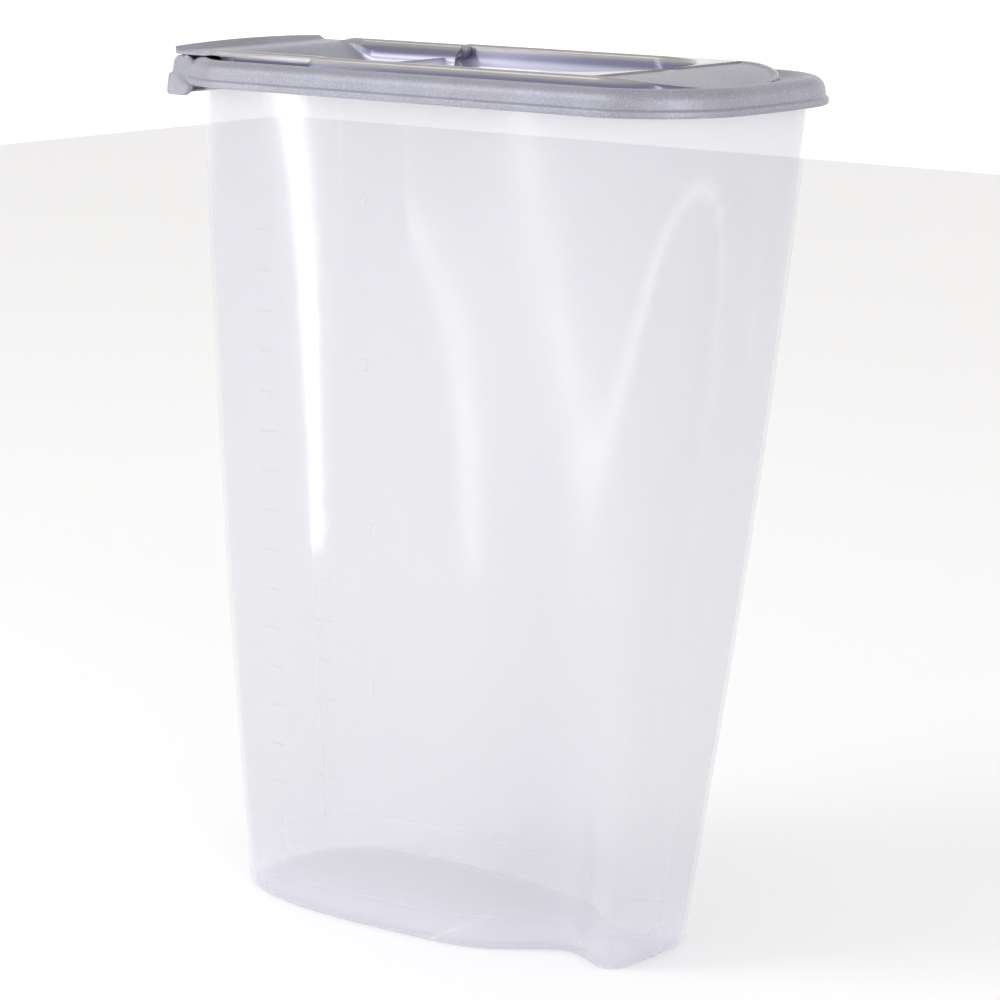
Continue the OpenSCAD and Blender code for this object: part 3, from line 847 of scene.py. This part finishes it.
def makeCap():
    # lengthwise loft: each row is a closed section, and its upper and lower points share their distances
    # from the middle
    startX, half, r = cap["startX"], cap["half"], cap["railRound"]
    quarter = 1 - np.cos(np.linspace(0, np.pi / 2, 8))
    x = np.concatenate([
        startX + cap["corner"] * quarter,
        cap["lipRows"],
        np.linspace(cap["railStart"], cap["railFull"], 9),
        np.linspace(cap["plugStart"], cap["troughX"], 14),
        np.linspace(cap["troughX"] + 3, hinge["x"], 12),
    ])
    x = np.unique(np.round(x, 4))
    out = startWidth(x, startX, half, cap["corner"])
    ahead = np.clip((cap["railFull"] - x) / (cap["railFull"] - cap["railStart"]), 0, 1)
    crest = mix(cap["shelfZ"], lid["railZ"], np.sqrt(1 - ahead ** 2))
    ramp = smooth((x - cap["shelfEnd"]) / (cap["troughX"] - cap["shelfEnd"]))
    low = mix(cap["shelfZ"], cap["troughZ"], ramp)

    # columns of the floor, the fillet and the wall, then the rail's round crest
    bend = np.radians(np.linspace(18, 90, 5))
    wallY, wallShare = np.array(cap["wall"]).T
    floorY = cap["floorHalf"] * np.linspace(0, 1, cap["floorCells"])
    share = np.concatenate([floorY * 0, 0.2 * (1 - np.cos(bend)), wallShare])
    turn = np.radians(np.linspace(0, 90, 6))
    soft = r * (crest - low) / (lid["railZ"] - cap["troughZ"])
    top = np.concatenate([
        low[:, None] + share[None, :] * (crest - low)[:, None],
        crest[:, None] - soft[:, None] * (1 - np.sin(turn))[None, :],
        crest[:, None] - np.maximum(soft, 0.35)[:, None] * (1 - np.sin(turn[::-1]))[None, :],
    ], axis=1)
    across = np.concatenate([
        floorY, cap["floorHalf"] + cap["fillet"] * np.sin(bend), wallY,
        cap["railInner"] + r * (1 - np.cos(turn)), half - r * (1 - np.cos(turn[::-1])),
    ])
    y = across[None, :] * (out / half)[:, None]

    # the lip stands above the shelf at the pour end, with a crown across and a rounded front edge
    ridge = 1 - smooth((x - startX - 1.1) / cap["lipLong"])
    edge = 0.5 * (1 - np.sqrt(np.clip((x - startX) / 0.6, 0, 1)))
    lipTop = cap["lipZ"] - cap["lipDrop"] * (y / half) ** 2 - edge[:, None]
    top = mix(top, lipTop, ridge[:, None])

    # underside: a thin plate over the rolled rim, the ring on the lid, and the plug that follows the trough
    ring = np.where(x > cap["ringX"], startWidth(x, cap["ringX"], half + 0.1, cap["ringRadius"]), 0)
    plate = np.maximum(cap["lipUnder"], top - cap["lipThick"])
    under = np.where(y <= ring[:, None], cap["bottomZ"], plate)
    plug = (x[:, None] >= cap["plugStart"]) & (y <= cap["plugHalf"])
    under = np.where(plug, np.minimum(cap["bottomZ"], top - 1.3), under)
    yy = np.concatenate([y, y[:, ::-1], -y[:, 1:], -y[:, :0:-1]], axis=1)
    zz = np.concatenate([top, under[:, ::-1], under[:, 1:], top[:, :0:-1]], axis=1)
    grid = np.stack([np.broadcast_to(x[:, None], yy.shape), yy, zz], axis=2)
    ends = []
    for row in (0, -1):
        flat = (top[row] + under[row]) / 2
        end = grid[row].copy()
        end[:, 2] = np.concatenate([flat, flat[::-1], flat[1:], flat[:0:-1]])
        ends.append(end)

    # polished from the slanted line on, and on the rail's outer side
    count, cells = len(across), cap["floorCells"]
    slant = np.linspace(*cap["polishWall"], count - cells)
    start = np.concatenate([np.full(cells, cap["polishFloor"]), slant])
    column = np.concatenate([np.arange(count), np.full(2 * count - 1, -1), np.arange(count)[:0:-1] - 1])
    startAt = np.where(column >= 0, start[np.clip(column, 0, count - 1)], 0)
    outer = (column == count - 1) | (np.arange(len(column)) == 3 * count - 2)
    slots = np.zeros((len(x) + 2, len(column)), int)
    slots[1:-1] = (x[:, None] > startAt[None, :]).astype(int)
    slots[1:-1] |= (outer[None, :] & (x[:, None] > cap["polishWall"][1])).astype(int)
    piece = meshFromGrid("cap_body", np.concatenate([ends[:1], grid, ends[1:]]), closeV=True,
                         materials=[lidTextured, lidPolished], slots=slots, sharp=38)
    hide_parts("flip_cap")
    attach(piece, "flip_cap")


pins = {
    "knuckleIn": 35.6,    # from the middle
    "knuckleOut": 38.25,
    "tip": 40.5,
    "knuckleEdge": 0.3,
    "tipEdge": 0.4,
    "around": 48,
}


def makePins():
    # knuckle at the end of each rail and a round pin with a chamfered tip, turned from a profile of
    # (radius, distance from the middle)
    pin, knuckle = hinge["pin"], hinge["knuckle"] - 0.03
    start, end, tip = pins["knuckleIn"], pins["knuckleOut"], pins["tip"]
    edge, chamfer = pins["knuckleEdge"], pins["tipEdge"]
    profile = joinPoints([
        (0.0, start), (knuckle - edge, start), (knuckle, start + edge),
        (knuckle, end - 0.25), (knuckle - edge, end),
        (pin, end), (pin, tip - chamfer), (pin - chamfer, tip), (0.0, tip),
    ])
    radius, along = profile[:, :1], profile[:, 1:]
    a = np.linspace(0, 2 * np.pi, pins["around"] + 1)[:-1]
    x, z = hinge["x"] + radius * np.cos(a), hinge["z"] + radius * np.sin(a)
    for side, name in ((-1, "cap_pin_near"), (1, "cap_pin_far")):
        grid = np.stack([x, side * np.broadcast_to(along, x.shape), z], axis=2)
        piece = meshFromGrid(name, grid, closeV=True, materials=[lidPolished], sharp=30)
        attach(piece, "flip_cap")


makeCap()
makePins()
print("flip cap made")


# places and sizes of the stage are in metres
stage = {
    "paper": (0.96, 0.96, 0.965, 1),
    "paperLight": (0.97, 0.97, 0.975, 1),
    "far": 2.2,
    "world": 1.3,
    "overhead": (0.60, 0.59, 0.58, 1),
    "overheadFrom": 0.22,   # sine of the height above the horizon where the white ends
    "overheadFull": 0.60,
}
camera = {
    "place": (0.7776, -0.9172, 0.3979),
    "target": (0.0030, 0.0, 0.1525),
    "lens": 126.0,
    "sensor": 36.0,
}


def makeFloor():
    s = Shader("floor_paper")
    cloud = s.add("ShaderNodeTexNoise", Vector=s.place(), Scale=1.5, Detail=2.0)
    colour = s.mixColour(cloud, stage["paper"], stage["paperLight"])
    surface = s.add("ShaderNodeBsdfPrincipled", Base_Color=colour, Roughness=0.9 + cloud * 0.05)
    material = s.finish(surface)
    far = stage["far"] * 1000
    grid = np.array([[[-far, -far, 0], [-far, far, 0]], [[far, -far, 0], [far, far, 0]]], float)
    meshFromGrid("floor", grid, materials=[material])


def makeWorld():
    # white all round the horizon and below it, and a darker warm grey overhead
    world = bpy.data.worlds.new("studio")
    bpy.context.scene.world = world
    world.use_nodes = True
    nodes, links = world.node_tree.nodes, world.node_tree.links
    place = nodes.new("ShaderNodeTexCoord")
    split = nodes.new("ShaderNodeSeparateXYZ")
    ramp = nodes.new("ShaderNodeValToRGB")
    links.new(place.outputs["Generated"], split.inputs[0])
    links.new(split.outputs["Z"], ramp.inputs["Fac"])
    stops = ((stage["overheadFrom"], (1, 1, 1, 1)), (stage["overheadFull"], stage["overhead"]))
    for element, (position, colour) in zip(ramp.color_ramp.elements, stops):
        element.position, element.color = position, colour
    links.new(ramp.outputs["Color"], nodes["Background"].inputs["Color"])
    nodes["Background"].inputs["Strength"].default_value = stage["world"]


def aim(data, place, target):
    # puts a light or a camera in its place and turns it to its target
    item = bpy.data.objects.new(data.name, data)
    bpy.context.scene.collection.objects.link(item)
    item.location = place
    item.rotation_euler = (Vector(target) - Vector(place)).to_track_quat("-Z", "Y").to_euler()
    return item


def softLight(name, place, target, size, watts, colour=(1, 1, 1)):
    data = bpy.data.lights.new(name, "AREA")
    data.shape, data.size, data.size_y = "RECTANGLE", size[0], size[1]
    data.energy, data.color = watts, colour
    aim(data, place, target)


def makeCamera():
    data = bpy.data.cameras.new("camera")
    data.lens, data.sensor_width = camera["lens"], camera["sensor"]
    bpy.context.scene.camera = aim(data, camera["place"], camera["target"])


makeFloor()
makeWorld()
softLight("key", (-0.9, -1.1, 1.3), (0, 0, 0.2), (0.9, 0.9), 8)
softLight("side", (1.9, -1.15, 0.75), (0.09, -0.03, 0.25), (0.18, 1.5), 10, (0.98, 0.98, 1.0))
softLight("strip", (-0.43, -0.44, 0.10), (-0.06, -0.045, 0.16), (0.012, 0.55), 0.6)
makeCamera()
bpy.context.scene.view_settings.view_transform = "Standard"
print("stage made")
